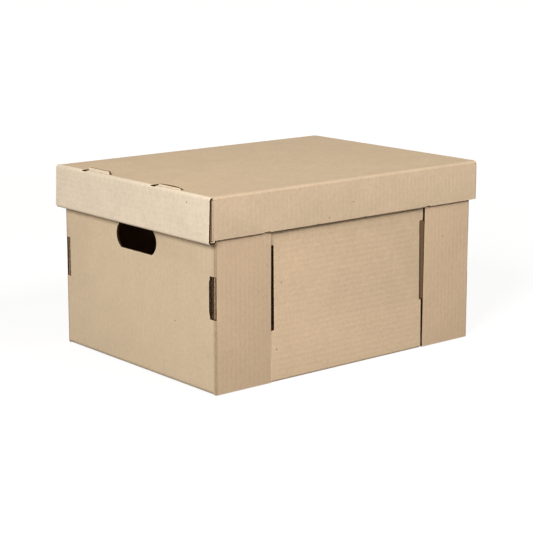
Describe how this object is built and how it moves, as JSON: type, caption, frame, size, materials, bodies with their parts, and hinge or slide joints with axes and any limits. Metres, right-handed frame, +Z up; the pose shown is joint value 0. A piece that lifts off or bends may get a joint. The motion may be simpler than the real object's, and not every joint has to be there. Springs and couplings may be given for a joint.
{
  "type": "storage box",
  "caption": "Corrugated board storage box with a lift-off telescoping lid, hand holes in its ends and glueless locking tabs.",
  "frame": {"origin": "middle of the box's base, on the surface that it stands on", "axes": "+Z up, +X along the box's length, -Y the front long side and -X the left end"},
  "size_m": [0.4238, 0.3068, 0.2275],
  "materials": {
    "body_board": "uncoated kraft liner, matt",
    "lid_board": "uncoated kraft liner, matt"
  },
  "bodies": {
    "box": {"bottom_panel": "body_board", "left_end_wall": "body_board", "right_end_wall": "body_board", "front_panel": "body_board", "back_panel": "body_board", "front_rim_fold": "body_board", "back_rim_fold": "body_board", "front_lining": "body_board", "back_lining": "body_board", "front_left_wing": "body_board", "back_right_wing": "body_board", "front_right_wing": "body_board", "back_left_wing": "body_board", "front_left_tab": "body_board", "back_right_tab": "body_board", "front_right_tab": "body_board", "back_left_tab": "body_board"},
    "lid": {"lid_top": "lid_board", "lid_front_skirt": "lid_board", "lid_back_skirt": "lid_board", "lid_front_left_flap": "lid_board", "lid_back_left_flap": "lid_board", "lid_front_right_flap": "lid_board", "lid_back_right_flap": "lid_board", "lid_left_skirt": "lid_board", "lid_left_hem": "lid_board", "lid_left_lining": "lid_board", "lid_right_skirt": "lid_board"}
  },
  "joints": [
    {"name": "lid_lift", "type": "slide", "parent": "box", "child": "lid", "axis": [0, 0, 1], "range_m": [0, 0.08]}
  ]
}
